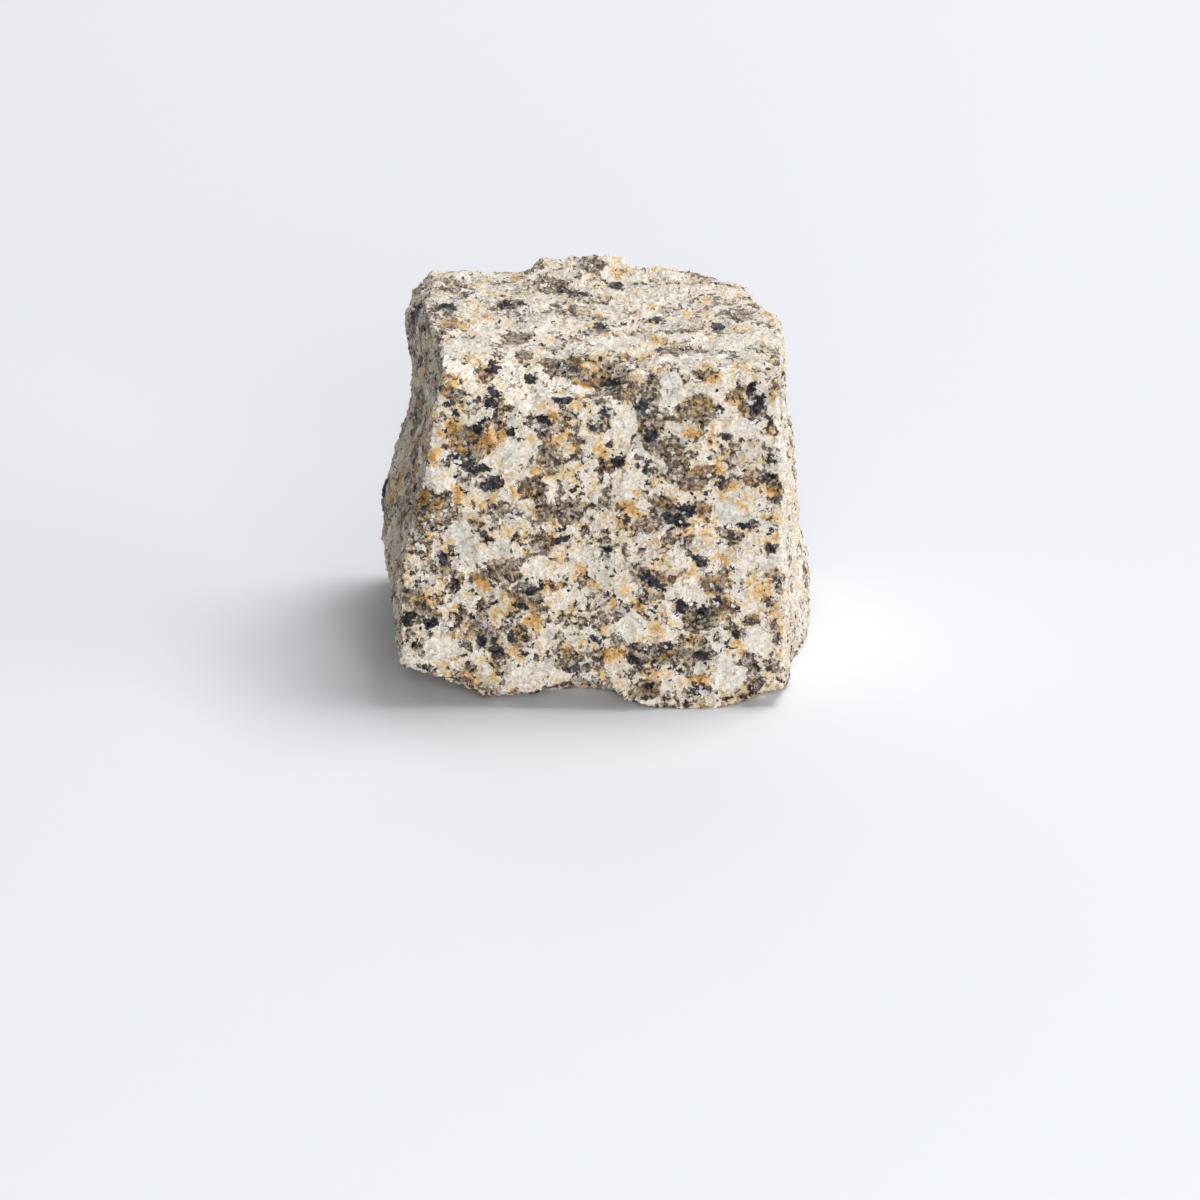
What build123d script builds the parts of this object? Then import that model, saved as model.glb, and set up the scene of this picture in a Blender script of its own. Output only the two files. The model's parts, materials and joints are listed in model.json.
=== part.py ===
from build123d import *

import os
from dataclasses import dataclass
from math import ceil, exp
from random import Random

# A hand-split granite paving sett: one block, cleft on five sides and resting on its flattest
# side, with the scars of the flakes that came off its arrises. Lengths are in millimetres.
# x runs from the left side to the right, y from the front face to the back, z up from the bed.

# Mean size of the block, between its cleft faces
LENGTH = 62.2  # left side to right side, at mid height
WIDTH = 57.6  # front face to back face, at mid height
HEIGHT = 57.8  # bed to top, on the axis

# Lean of each side from plumb and its turn about the vertical, in degrees
FRONT_LEAN, FRONT_TURN = 5.4, 0.0
BACK_LEAN, BACK_TURN = 3.0, -2.5
LEFT_LEAN, LEFT_TURN = 4.8, 2.0
RIGHT_LEAN, RIGHT_TURN = 0.8, -2.5
TOP_PITCH, TOP_ROLL = 0.4, -1.0  # rise towards the back and towards the right

ROUGH_ALLOWANCE = 9.0  # stone split away outside each mean face

# The stone breaks along its crystals, so each cleft face is made of small flat facets
FACET_SPAN = 5.0  # from corner to corner
FACET_STRAY = 0.25  # how far a corner strays along the face, in spans
FACET_RISE = 0.65  # how far a corner stands out of the swells, or lies in from them


@dataclass(frozen=True)
class Swell:
    """A swell of a cleft face, or a hollow where the rise is negative."""

    rise: float  # how far it stands out of the mean face
    across: float  # its middle, from the middle of the face, in halves of the face's width
    up: float  # its middle, from the middle of the face, in halves of the face's height
    wide: float  # its half width, in halves of the face's width
    tall: float  # its half height, in halves of the face's height
    flank: float = 2.0  # how it ends: 2 for a gentle flank, more for a steep one

    def height(self, u, v):
        run_u = abs((u - self.across) / self.wide) ** self.flank
        run_v = abs((v - self.up) / self.tall) ** self.flank
        return self.rise * exp(-run_u - run_v)


@dataclass(frozen=True)
class Flake:
    """A shell-shaped scar where a flake was struck or split off."""

    depth: float  # from the strike point to the bottom of the scar
    radius: float  # of the curve of the scar
    strike: tuple  # where the blow fell, in halves of the length and width, and in heights
    outward: tuple  # the way the scar faces


@dataclass(frozen=True)
class CleftSide:
    """A split side: its mean plane, moved out or in by swells and broken up into facets."""

    name: str  # the chance that shapes its facets starts from this
    mean_plane: Plane  # x across the side, y up it and z out of it
    width: float
    height: float
    swells: list

    def corner(self, column, row):
        """A corner that facets meet in, counted in spans from the middle of the side."""
        chance = Random(f"{self.name} {column} {row}")
        x = FACET_SPAN * (column + FACET_STRAY * chance.uniform(-1, 1))
        y = FACET_SPAN * (row + FACET_STRAY * chance.uniform(-1, 1))
        swelling = sum(swell.height(2 * x / self.width, 2 * y / self.height) for swell in self.swells)
        return self.mean_plane.from_local_coords((x, y, swelling + FACET_RISE * chance.uniform(-1, 1)))

    def surface(self):
        """The side's facets, two between each four corners, out past the rough piece."""
        reach = max(LENGTH, WIDTH, HEIGHT) / 2 + 2 * ROUGH_ALLOWANCE
        steps = ceil(reach / FACET_SPAN)
        facets = []
        for i in range(-steps, steps):
            for j in range(-steps, steps):
                near, across = self.corner(i, j), self.corner(i + 1, j)
                far, up = self.corner(i + 1, j + 1), self.corner(i, j + 1)
                facets.append(Face(Wire.make_polygon([near, across, far])))
                facets.append(Face(Wire.make_polygon([near, far, up])))
        return Shell(facets)


FRONT_SWELLS = [
    Swell(rise=0.9, across=0.1, up=-0.1, wide=0.8, tall=0.7),
    Swell(rise=1.8, across=0.26, up=-1.0, wide=0.5, tall=0.6),
    Swell(rise=-0.7, across=-0.55, up=0.55, wide=0.35, tall=0.35),
]
BACK_SWELLS = [
    Swell(rise=1.6, across=-0.1, up=-0.4, wide=0.8, tall=0.6),
    Swell(rise=-1.2, across=0.5, up=0.5, wide=0.4, tall=0.4),
]
LEFT_SWELLS = [
    Swell(rise=5.7, across=-0.2, up=-0.28, wide=1.0, tall=0.45),
    Swell(rise=1.8, across=0.9, up=-0.5, wide=0.5, tall=0.5),
    Swell(rise=3.2, across=-0.8, up=0.74, wide=0.6, tall=0.32),
    Swell(rise=-1.6, across=0.7, up=1.0, wide=0.6, tall=0.4),
]
RIGHT_SWELLS = [
    Swell(rise=3.2, across=0.35, up=-0.96, wide=0.8, tall=0.32, flank=3.0),
    Swell(rise=1.7, across=0.3, up=-0.4, wide=0.9, tall=0.5),
    Swell(rise=-0.8, across=0.1, up=0.5, wide=0.6, tall=0.4),
]
TOP_SWELLS = [
    Swell(rise=2.3, across=-0.12, up=0.95, wide=0.32, tall=0.24, flank=4.0),
    Swell(rise=0.9, across=-0.03, up=0.95, wide=0.1, tall=0.2),
    Swell(rise=-0.6, across=-0.5, up=0.95, wide=0.15, tall=0.3),
    Swell(rise=-0.6, across=-0.1, up=-0.4, wide=0.6, tall=0.4),
]

FLAKES = [
    # Long scar along the front arris of the top, and the deeper scoop behind it
    Flake(depth=4.0, radius=34.0, strike=(-0.42, -0.84, 1.0), outward=(0.0, -0.5, 0.87)),
    Flake(depth=4.2, radius=8.0, strike=(-0.22, -0.82, 1.0), outward=(0.0, -0.4, 0.92)),
    Flake(depth=5.2, radius=6.4, strike=(-0.05, -0.86, 1.0), outward=(0.0, -0.4, 0.92)),
    # Either side of the knob on the back arris of the top
    Flake(depth=0.4, radius=4.2, strike=(-0.46, 0.94, 1.0), outward=(0.0, 0.2, 1.0)),
    Flake(depth=0.3, radius=3.6, strike=(0.22, 0.94, 1.0), outward=(0.0, 0.2, 1.0)),
    # Back right corner of the top, then its right arris
    Flake(depth=10.4, radius=50.0, strike=(0.96, 0.96, 1.0), outward=(0.72, 0.74, 0.6)),
    Flake(depth=2.9, radius=70.0, strike=(0.96, 0.3, 1.0), outward=(0.9, 0.25, 0.6)),
    # Left arris of the top, at the back
    Flake(depth=2.4, radius=40.0, strike=(-1.02, 0.6, 1.0), outward=(-0.8, 0.1, 0.6)),
    # Pit in the front left arris
    Flake(depth=2.8, radius=2.8, strike=(-0.97, -1.0, 0.635), outward=(-0.7, -0.7, 0.1)),
    # Foot of the front left corner, the lifted foot of the front face and the arch in it
    Flake(depth=6.6, radius=70.0, strike=(-1.1, -1.0, 0.0), outward=(-0.33, -0.22, -1.0)),
    Flake(depth=2.5, radius=60.0, strike=(-0.3, -1.08, 0.0), outward=(0.0, -0.3, -1.0)),
    Flake(depth=4.6, radius=11.0, strike=(-0.13, -1.06, 0.0), outward=(0.0, -0.35, -1.0)),
    # Foot of the front right corner
    Flake(depth=2.6, radius=50.0, strike=(0.97, -1.05, 0.0), outward=(0.3, -0.4, -1.0)),
    # Foot of the back
    Flake(depth=3.0, radius=34.0, strike=(0.2, 1.08, 0.0), outward=(0.1, 0.7, -0.8)),
]


def side_plane(outward, across, distance, lean, turn):
    """Mean plane of a side at mid height: x across the side, y up it and z out of it."""
    middle = Vector(*outward) * distance + Vector(0, 0, HEIGHT / 2)
    plumb = Plane(origin=middle, x_dir=across, z_dir=outward)
    return Plane(plumb.location * Rotation(-lean, turn, 0))


front_plane = side_plane((0, -1, 0), (1, 0, 0), WIDTH / 2, FRONT_LEAN, FRONT_TURN)
back_plane = side_plane((0, 1, 0), (-1, 0, 0), WIDTH / 2, BACK_LEAN, BACK_TURN)
left_plane = side_plane((-1, 0, 0), (0, -1, 0), LENGTH / 2, LEFT_LEAN, LEFT_TURN)
right_plane = side_plane((1, 0, 0), (0, 1, 0), LENGTH / 2, RIGHT_LEAN, RIGHT_TURN)
top_plane = Plane(origin=(0, 0, HEIGHT)).rotated((TOP_PITCH, TOP_ROLL, 0))

cleft_sides = [
    CleftSide("front", front_plane, LENGTH, HEIGHT, FRONT_SWELLS),
    CleftSide("back", back_plane, LENGTH, HEIGHT, BACK_SWELLS),
    CleftSide("left", left_plane, WIDTH, HEIGHT, LEFT_SWELLS),
    CleftSide("right", right_plane, WIDTH, HEIGHT, RIGHT_SWELLS),
    CleftSide("top", top_plane, LENGTH, WIDTH, TOP_SWELLS),
]

with BuildPart() as cleft_block:
    # The rough piece, its underside already split along the bed
    Box(
        LENGTH + 2 * ROUGH_ALLOWANCE,
        WIDTH + 2 * ROUGH_ALLOWANCE,
        HEIGHT + ROUGH_ALLOWANCE,
        align=(Align.CENTER, Align.CENTER, Align.MIN),
    )
    for side in cleft_sides:
        split(bisect_by=side.surface(), keep=Keep.BOTTOM)
    for flake in FLAKES:
        across, along, up = flake.strike
        strike_point = Vector(across * LENGTH / 2, along * WIDTH / 2, up * HEIGHT)
        centre = strike_point + Vector(*flake.outward).normalized() * (flake.radius - flake.depth)
        with Locations(centre):
            Sphere(flake.radius, mode=Mode.SUBTRACT)

# The origin is on the bed, under the middle of the block's outline
outline = cleft_block.part.bounding_box().center()
with BuildPart() as granite_sett:
    add(cleft_block.part.moved(Location((-outline.X, -outline.Y, 0))))
granite_sett.part.label = "granite_sett"

os.makedirs("parts", exist_ok=True)
export_step(granite_sett.part, "parts/granite_sett.step")
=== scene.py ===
"""Looks of a hand-split granite paving sett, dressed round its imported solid.

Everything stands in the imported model's own frame, in metres: x to the stone's right, y to its back
and z up from its bed. Crystals, stains and relief are given in millimetres, as on a real stone.
"""

from __future__ import annotations

import json
import logging
import math
from dataclasses import dataclass
from enum import Enum

import bmesh
import bpy
import numpy as np
from mathutils import Matrix, Vector

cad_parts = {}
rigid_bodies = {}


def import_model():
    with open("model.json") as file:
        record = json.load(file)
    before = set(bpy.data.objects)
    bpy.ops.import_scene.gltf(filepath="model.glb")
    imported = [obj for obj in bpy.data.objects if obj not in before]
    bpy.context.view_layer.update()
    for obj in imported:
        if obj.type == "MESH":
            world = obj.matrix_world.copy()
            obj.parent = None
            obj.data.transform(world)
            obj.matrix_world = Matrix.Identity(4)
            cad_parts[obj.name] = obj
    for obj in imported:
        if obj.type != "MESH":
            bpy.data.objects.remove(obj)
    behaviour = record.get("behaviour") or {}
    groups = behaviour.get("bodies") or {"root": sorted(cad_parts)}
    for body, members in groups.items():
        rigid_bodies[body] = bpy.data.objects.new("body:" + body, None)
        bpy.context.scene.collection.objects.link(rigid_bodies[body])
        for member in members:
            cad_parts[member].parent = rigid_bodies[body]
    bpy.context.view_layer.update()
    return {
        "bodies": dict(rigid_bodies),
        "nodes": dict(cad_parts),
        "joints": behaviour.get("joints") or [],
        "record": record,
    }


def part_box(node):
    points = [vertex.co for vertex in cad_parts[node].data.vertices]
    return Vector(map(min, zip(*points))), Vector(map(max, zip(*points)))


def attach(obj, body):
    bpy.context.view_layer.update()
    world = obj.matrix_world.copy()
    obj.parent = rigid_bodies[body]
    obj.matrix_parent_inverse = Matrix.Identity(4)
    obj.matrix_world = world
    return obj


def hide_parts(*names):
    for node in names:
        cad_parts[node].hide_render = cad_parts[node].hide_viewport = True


MM = 0.001
ARRIS = "arris"  # the mesh attribute that says how sharp an arris was, in metres
Ramp = tuple[float, float]  # where a field starts a change, and where it ends it
WHOLE: Ramp = (0.0, 1.0)
log = logging.getLogger("sett")


def linear(hex_colour: str) -> tuple[float, float, float, float]:
    """Turns an sRGB colour into the linear one that a socket takes.

    Args:
        hex_colour: The colour as "#RRGGBB".

    Returns:
        Red, green, blue and an alpha of one.
    """
    parts = [int(hex_colour[i : i + 2], 16) / 255 for i in (1, 3, 5)]
    red, green, blue = (p / 12.92 if p <= 0.04045 else ((p + 0.055) / 1.055) ** 2.4 for p in parts)
    return red, green, blue, 1.0


def add_node(
    tree: bpy.types.NodeTree,
    kind: str,
    feeds: dict[int | str, object] | None = None,
    **settings: object,
) -> bpy.types.Node:
    """Adds a node with its settings, values and links.

    Args:
        tree: The shader or geometry tree.
        kind: The node's type name.
        feeds: A socket to link from, or a value, for each input, by its place or its name.
        **settings: The node's own properties.

    Returns:
        The new node.
    """
    node = tree.nodes.new(kind)
    for name, value in settings.items():
        setattr(node, name, value)
    for key, value in (feeds or {}).items():
        named = [s for s in node.inputs if s.enabled and s.name == key]
        socket = node.inputs[key] if isinstance(key, int) else named[0]
        if isinstance(value, bpy.types.NodeSocket):
            tree.links.new(value, socket)
        else:
            socket.default_value = value
    return node


def result(node: bpy.types.Node, name: str = "") -> bpy.types.NodeSocket:
    """Finds an output that the node's settings leave in use.

    Args:
        node: The node.
        name: The output's name, or nothing for the first one.

    Returns:
        The output socket.
    """
    return next(s for s in node.outputs if s.enabled and name in ("", s.name))


def shown(tree: bpy.types.NodeTree) -> bpy.types.NodeSocket:
    """Marks the rays that show a surface: straight ones, and those mirrored or let through.

    Args:
        tree: The shader tree to add to.

    Returns:
        One for such rays, nothing for the rest.
    """
    rays = add_node(tree, "ShaderNodeLightPath").outputs
    feeds = {0: rays["Is Camera Ray"], 1: rays["Is Glossy Ray"]}
    mirrored = add_node(tree, "ShaderNodeMath", feeds, operation="MAXIMUM")
    feeds = {0: result(mirrored), 1: rays["Is Transmission Ray"]}
    return result(add_node(tree, "ShaderNodeMath", feeds, operation="MAXIMUM"))


class Mineral(Enum):
    """What a patch of the surface is made of, or shows as painted shade or sheen, by the name of its
    attribute on the mesh.
    """

    FELDSPAR = "feldspar"
    QUARTZ = "quartz"
    BIOTITE = "biotite"
    RUST = "rust"


class Side(Enum):
    """A side of the block: the way it faces, and the two axes that run across it and up it."""

    FRONT = ((0, -1, 0), 0, 2)
    TOP = ((0, 0, 1), 0, 1)
    LEFT = ((-1, 0, 0), 1, 2)
    RIGHT = ((1, 0, 0), 1, 2)


@dataclass(frozen=True)
class Patch:
    """A crystal or a stain that lies at a set place on one side, in millimetres; some patches are painted
    shade or painted sheen.
    """

    mineral: Mineral
    side: Side
    across: float
    up: float
    wide: float
    tall: float
    turn: float = 0.0  # degrees, from across towards up
    fullness: float = 1.0
    rim: float = 1.5  # full while the square of the distance is half under it, nothing past it
    facing: Ramp = (0.2, 0.6)  # how squarely the surface faces out where the patch starts and is full

    def cover(self, places: np.ndarray, normals: np.ndarray) -> np.ndarray:
        """Measures how fully the patch covers each point.

        Args:
            places: Points in millimetres, one to a row.
            normals: The surface's normals there.

        Returns:
            For each point, one in the middle of the patch, falling to nothing outside it.
        """
        outward, u, v = self.side.value
        least, square = self.facing
        turn = math.radians(self.turn)
        du, dv = places[:, u] - self.across, places[:, v] - self.up
        along = (du * math.cos(turn) + dv * math.sin(turn)) / (self.wide / 2)
        over = (dv * math.cos(turn) - du * math.sin(turn)) / (self.tall / 2)
        faces_out = np.clip((normals @ np.array(outward, float) - least) / (square - least), 0, 1)
        return np.clip(self.rim - along**2 - over**2, 0, 1) * faces_out * self.fullness


@dataclass(frozen=True)
class CrystalFabric:
    """How the crystals interlock. The relief and the colours both follow it."""

    crystal: float = 2.5  # feldspar and quartz, across
    mica: float = 1.8  # flakes of biotite, across
    bend: float = 1.2  # how far the long wander of the crystals' boundaries goes
    bend_span: float = 3.6
    fray: float = 0.42  # how far their short wander goes
    fray_span: float = 0.8
    stretch: float = 4.0  # a noise stays within a quarter of its middle, and this brings it to one

    def place(self, tree: bpy.types.NodeTree) -> bpy.types.NodeSocket:
        """Adds the point of the stone that is looked at.

        Args:
            tree: The tree to add to.

        Returns:
            The point, in millimetres.
        """
        if tree.type == "SHADER":
            metres = add_node(tree, "ShaderNodeTexCoord").outputs["Object"]
        else:
            metres = result(add_node(tree, "GeometryNodeInputPosition"))
        scaled = add_node(tree, "ShaderNodeVectorMath", {0: metres, "Scale": 1 / MM}, operation="SCALE")
        return result(scaled)

    def wander(self, tree: bpy.types.NodeTree, place: bpy.types.NodeSocket) -> bpy.types.NodeSocket:
        """Bends the place, so that crystals have uneven boundaries.

        Args:
            tree: The tree to add to.
            place: The point, in millimetres.

        Returns:
            The bent point, in millimetres.
        """
        bent = place
        for reach, span in ((self.bend, self.bend_span), (self.fray, self.fray_span)):
            feeds = {"Vector": place, "Scale": 1 / span, "Detail": 2.0}
            drift = add_node(tree, "ShaderNodeTexNoise", feeds).outputs["Color"]
            feeds = {0: drift, 1: (0.5,) * 3}
            centred = result(add_node(tree, "ShaderNodeVectorMath", feeds, operation="SUBTRACT"))
            feeds = {0: centred, 1: (self.stretch * reach,) * 3, 2: bent}
            bent = result(add_node(tree, "ShaderNodeVectorMath", feeds, operation="MULTIPLY_ADD"))
        return bent

    def facets(
        self,
        tree: bpy.types.NodeTree,
        bent: bpy.types.NodeSocket,
        across: float,
        slope: float,
        step: float,
    ) -> bpy.types.NodeSocket:
        """Adds broken crystal faces: each cell is a small plane with its own tilt and height.

        Args:
            tree: The tree to add to.
            bent: The bent point, in millimetres.
            across: Mean size of a face.
            slope: Steepest tilt, as rise over run.
            step: Largest step between neighbours.

        Returns:
            The height of the surface, in millimetres.
        """
        cells = add_node(tree, "ShaderNodeTexVoronoi", {"Vector": bent, "Scale": 1 / across})
        middle, chances = cells.outputs["Position"], cells.outputs["Color"]
        feeds = {0: bent, 1: middle}
        from_middle = result(add_node(tree, "ShaderNodeVectorMath", feeds, operation="SUBTRACT"))
        feeds = {0: chances, 1: (2 * slope,) * 3, 2: (-slope,) * 3}
        tilt = result(add_node(tree, "ShaderNodeVectorMath", feeds, operation="MULTIPLY_ADD"))
        feeds = {0: from_middle, 1: tilt}
        rise = add_node(tree, "ShaderNodeVectorMath", feeds, operation="DOT_PRODUCT")
        chance = add_node(tree, "ShaderNodeSeparateXYZ", {0: chances}).outputs["X"]
        feeds = {0: chance, 1: step, 2: result(rise, "Value")}
        return result(add_node(tree, "ShaderNodeMath", feeds, operation="MULTIPLY_ADD"))


@dataclass(frozen=True)
class SplitRelief:
    """Relief of a split face, in millimetres, and how far the arrises have crumbled."""

    fabric: CrystalFabric
    swell: float = 0.5  # long unevenness, from lowest to highest
    swell_span: float = 5.0
    facet_slope: float = 0.2
    facet_step: float = 0.22
    chip: float = 1.0  # small broken faces within a crystal, across
    chip_slope: float = 0.28
    chip_step: float = 0.12
    inset: float = 0.5  # how far the mean surface lies under the solid's
    crumble_reach: int = 8  # rounds of smoothing that a crumbled arris has lost its edge by
    crumble_span: float = 4.5
    crumble: Ramp = (0.38, 0.66)  # over the noise that says where an arris has crumbled
    least_crumbled: float = 0.25

    def height(self, tree: bpy.types.NodeTree) -> bpy.types.NodeSocket:
        """Adds the height of the surface over the solid's.

        Args:
            tree: The tree to add to.

        Returns:
            The height, in millimetres.
        """
        place = self.fabric.place(tree)
        bent = self.fabric.wander(tree, place)
        feeds = {"Vector": place, "Scale": 1 / self.swell_span, "Detail": 3.0}
        swell = result(add_node(tree, "ShaderNodeTexNoise", feeds))
        feeds = {0: swell, 1: self.swell, 2: -self.inset}
        long_rise = result(add_node(tree, "ShaderNodeMath", feeds, operation="MULTIPLY_ADD"))
        crystals = self.fabric.facets(tree, bent, self.fabric.crystal, self.facet_slope, self.facet_step)
        chips = self.fabric.facets(tree, bent, self.chip, self.chip_slope, self.chip_step)
        broken = result(add_node(tree, "ShaderNodeMath", {0: crystals, 1: chips}, operation="ADD"))
        return result(add_node(tree, "ShaderNodeMath", {0: broken, 1: long_rise}, operation="ADD"))

    def tree(self) -> bpy.types.NodeTree:
        """Builds the geometry nodes that crumble the arrises and raise the relief.

        Returns:
            Their tree.
        """
        tree = bpy.data.node_groups.new("split_relief", "GeometryNodeTree")
        tree.interface.new_socket("Geometry", in_out="INPUT", socket_type="NodeSocketGeometry")
        tree.interface.new_socket("Geometry", in_out="OUTPUT", socket_type="NodeSocketGeometry")
        start = add_node(tree, "NodeGroupInput")
        place = result(add_node(tree, "GeometryNodeInputPosition"))
        feeds = {"Value": place, "Iterations": self.crumble_reach}
        worn = result(add_node(tree, "GeometryNodeBlurAttribute", feeds, data_type="FLOAT_VECTOR"))
        normal = result(add_node(tree, "GeometryNodeInputNormal"))
        feeds = {0: place, 1: worn}
        lost = result(add_node(tree, "ShaderNodeVectorMath", feeds, operation="SUBTRACT"))
        feeds = {0: lost, 1: normal}
        sharpness = add_node(tree, "ShaderNodeVectorMath", feeds, operation="DOT_PRODUCT")
        marked = add_node(
            tree,
            "GeometryNodeStoreNamedAttribute",
            {"Geometry": start.outputs[0], "Name": ARRIS, "Value": result(sharpness, "Value")},
            data_type="FLOAT",
            domain="POINT",
        )
        feeds = {"Vector": self.fabric.place(tree), "Scale": 1 / self.crumble_span, "Detail": 3.0}
        spots = result(add_node(tree, "ShaderNodeTexNoise", feeds))
        feeds = {
            "Value": spots,
            "From Min": self.crumble[0],
            "From Max": self.crumble[1],
            "To Min": self.least_crumbled,
            "To Max": 1.0,
        }
        how_worn = result(add_node(tree, "ShaderNodeMapRange", feeds))
        feeds = {"Factor": how_worn, "A": place, "B": worn}
        crumbled = result(add_node(tree, "ShaderNodeMix", feeds, data_type="VECTOR"))
        feeds = {"Geometry": result(marked), "Position": crumbled}
        rounded = result(add_node(tree, "GeometryNodeSetPosition", feeds))
        feeds = {0: normal, "Scale": self.height(tree)}
        lift = result(add_node(tree, "ShaderNodeVectorMath", feeds, operation="SCALE"))
        feeds = {0: lift, "Scale": MM}
        metres = result(add_node(tree, "ShaderNodeVectorMath", feeds, operation="SCALE"))
        raised = add_node(tree, "GeometryNodeSetPosition", {"Geometry": rounded, "Offset": metres})
        add_node(tree, "NodeGroupOutput", {0: result(raised)})
        return tree


@dataclass(frozen=True)
class GraniteFields:
    """The noises, and the crystals' even chances, that the whole finish draws on."""

    place: bpy.types.NodeSocket
    fine: bpy.types.NodeSocket
    crumbs: bpy.types.NodeSocket
    clusters: bpy.types.NodeSocket
    stains: bpy.types.NodeSocket
    crystals: bpy.types.NodeOutputs
    flakes: bpy.types.NodeOutputs
    grains: bpy.types.NodeOutputs


@dataclass(frozen=True)
class GraniteFinish:
    """Rust-stained grey granite, freshly split: the crystals' own broken faces, unpolished.

    Feldspar gives milky white and cream with a dull cleavage shine. Quartz is glassy and looks
    smoky and mottled, because light goes into its cracks. Biotite is black, with a few flakes
    painted grey as glints.
    Water has left golden iron stain in feldspar and brown stain in quartz, and the blows that split
    the stone have bruised its arrises whitish. Spans and sizes are in millimetres.
    """

    fabric: CrystalFabric
    name: str = "split_granite"
    feldspar_white: str = "#F7F4EF"
    feldspar_cream: str = "#F1E6D4"
    feldspar_grey: str = "#E5E1D9"
    feldspar_shade: str = "#DCD0BE"
    quartz_dark: str = "#383029"
    quartz_smoky: str = "#857564"
    quartz_pale: str = "#D2C6B6"
    biotite_black: str = "#19191D"
    # painted glint: the grey that some biotite flakes get in place of the light they mirror
    biotite_painted_glint: str = "#46454A"
    stain_cream: str = "#FBE9C4"
    stain_gold: str = "#FAD089"
    stain_brown: str = "#B98349"
    bruise: str = "#F6F1E8"
    glint: str = "#D8DAE0"
    index: float = 1.54  # feldspar and quartz
    shine: float = 0.25  # half of what a polished face has, because broken faces shade each other
    rough_feldspar: float = 0.6
    rough_glassy: float = 0.4  # quartz and biotite
    quartz_share: float = 0.42
    biotite_share: float = 0.03
    speck_share: float = 0.018
    fine_span: float = 0.4
    crumb_span: float = 1.1
    stain_span: float = 2.8
    cluster_span: float = 7.5
    grain: float = 0.6  # the smallest grains, across
    grain_slope: float = 0.45
    grain_step: float = 0.07
    sand: float = 0.18  # height of the finest unevenness
    cream: Ramp = (0.36, 0.62)  # white feldspar to cream, over the crumbs
    grey: Ramp = (0.72, 0.84)  # to grey, over the crystals' chances
    shade: Ramp = (0.5, 0.68)
    smoky: Ramp = (1.25, 1.65)  # dark quartz to smoky, over its cracks
    pale: Ramp = (1.65, 2.15)
    tint: Ramp = (0.83, 0.98)  # this and the next three run over the stain
    gold: Ramp = (0.9, 1.03)
    cover: Ramp = (0.95, 1.3)
    brown: Ramp = (1.02, 1.18)
    # over the grains' chances: which biotite flakes get the painted glint grey
    painted_flake_glint: Ramp = (0.62, 0.8)
    struck: Ramp = (0.7, 1.1)  # to bruised, over the blows
    struck_weight: float = 0.9  # of each millimetre that an arris is sharp
    glints: Ramp = (-0.03, -0.05)  # about a fiftieth of the dark grains
    glint_weight: float = -0.06

    def build(self) -> bpy.types.Material:
        """Builds the material.

        Returns:
            The material.
        """
        material = bpy.data.materials.new(self.name)
        material.use_nodes = True
        tree = material.node_tree
        tree.nodes.clear()
        fields = self.fields(tree)
        quartz, biotite = self.quartz(tree, fields), self.biotite(tree, fields)
        feeds = {0: quartz, 1: biotite}
        dark = result(add_node(tree, "ShaderNodeMath", feeds, operation="MAXIMUM"))

        milky, smoky = self.feldspar_colour(tree, fields), self.quartz_colour(tree, fields)
        stone = self.blend(tree, quartz, WHOLE, milky, smoky)
        stone = self.stained(tree, fields, stone)
        # Biotite: black, with painted glints of grey on some flakes
        mica = self.blend(tree, fields.grains["Y"], self.painted_flake_glint, self.biotite_black, self.biotite_painted_glint)
        stone = self.blend(tree, biotite, WHOLE, stone, mica)
        stone = self.blend(tree, self.blows(tree, fields), self.struck, stone, self.bruise)
        sparkle = self.weigh(tree, fields.grains["Z"], [(dark, self.glint_weight)])
        stone = self.blend(tree, sparkle, self.glints, stone, self.glint)

        feeds = {"Value": dark, "To Min": self.rough_feldspar, "To Max": self.rough_glassy}
        roughness = result(add_node(tree, "ShaderNodeMapRange", feeds))
        surface = add_node(
            tree,
            "ShaderNodeBsdfPrincipled",
            {
                "Base Color": stone,
                "Roughness": roughness,
                "IOR": self.index,
                "Specular IOR Level": self.shine,
                "Normal": self.bump(tree, fields),
            },
        )
        add_node(tree, "ShaderNodeOutputMaterial", {"Surface": result(surface)})
        return material

    def fields(self, tree: bpy.types.NodeTree) -> GraniteFields:
        """Adds the fields that the finish draws on.

        Args:
            tree: The tree to add to.

        Returns:
            The fields.
        """
        place = self.fabric.place(tree)
        bent = self.fabric.wander(tree, place)
        return GraniteFields(
            place=place,
            fine=self.noise(tree, place, self.fine_span, detail=2.0, roughness=0.65),
            crumbs=self.noise(tree, place, self.crumb_span, detail=2.0),
            clusters=self.noise(tree, place, self.cluster_span, detail=3.0),
            stains=self.noise(tree, bent, self.stain_span, detail=4.0, roughness=0.62),
            crystals=self.cells(tree, bent, self.fabric.crystal),
            flakes=self.cells(tree, bent, self.fabric.mica),
            grains=self.cells(tree, place, self.grain),
        )

    def quartz(self, tree: bpy.types.NodeTree, fields: GraniteFields) -> bpy.types.NodeSocket:
        """Marks the quartz: whole crystals in clusters, with ragged edges.

        Args:
            tree: The tree to add to.
            fields: The finish's fields.

        Returns:
            One inside, nothing outside.
        """
        return self.share(
            tree,
            fields.crystals["X"],
            [(fields.clusters, 1.0), (fields.crumbs, 1.6), (fields.fine, 0.7)],
            {Mineral.QUARTZ: -0.9, Mineral.FELDSPAR: 0.75, Mineral.BIOTITE: -0.5},
            share=self.quartz_share,
            softness=0.07,
        )

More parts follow.
